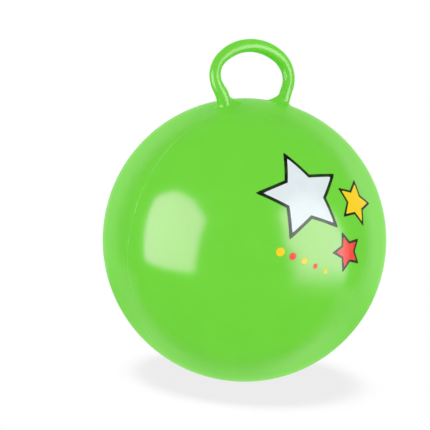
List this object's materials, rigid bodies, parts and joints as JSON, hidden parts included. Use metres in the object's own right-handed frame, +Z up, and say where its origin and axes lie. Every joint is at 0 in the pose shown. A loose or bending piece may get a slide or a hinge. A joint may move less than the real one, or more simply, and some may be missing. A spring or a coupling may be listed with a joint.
{
  "type": "hopper ball",
  "caption": "Inflated vinyl bouncing ball to sit on, with a moulded loop handle to hold, a push-in air valve plug and a printed front.",
  "frame": {"origin": "middle of the flat patch that the ball stands on, straight below the ball's centre", "axes": "+Z up through the ball's crown, -Y towards the printed front, +Y towards the valve, the handle spans X"},
  "size_m": [0.4546, 0.4554, 0.546],
  "materials": {
    "vinyl_green": "gloss",
    "plug_white": "satin",
    "ink_white": "gloss",
    "ink_yellow": "gloss",
    "ink_red": "gloss",
    "ink_black": "gloss"
  },
  "bodies": {
    "ball": {"ball_skin": "vinyl_green", "left_handle_root": "vinyl_green", "right_handle_root": "vinyl_green", "valve_seat": "vinyl_green", "print_white": "ink_white", "print_yellow": "ink_yellow", "print_red": "ink_red", "print_black": "ink_black"},
    "handle": {"handle_loop": "vinyl_green"},
    "plug": {"valve_plug": "plug_white"}
  },
  "joints": [
    {"name": "handle_flex", "type": "hinge", "parent": "ball", "child": "handle", "pos_m": [0, 0, 0.46001], "axis": [1, 0, 0], "range_deg": [-25, 25], "stiffness_Nm_per_rad": 4.6},
    {"name": "plug_pull", "type": "slide", "parent": "ball", "child": "plug", "axis": [0, 1, 0], "range_m": [0, 0.024]}
  ]
}
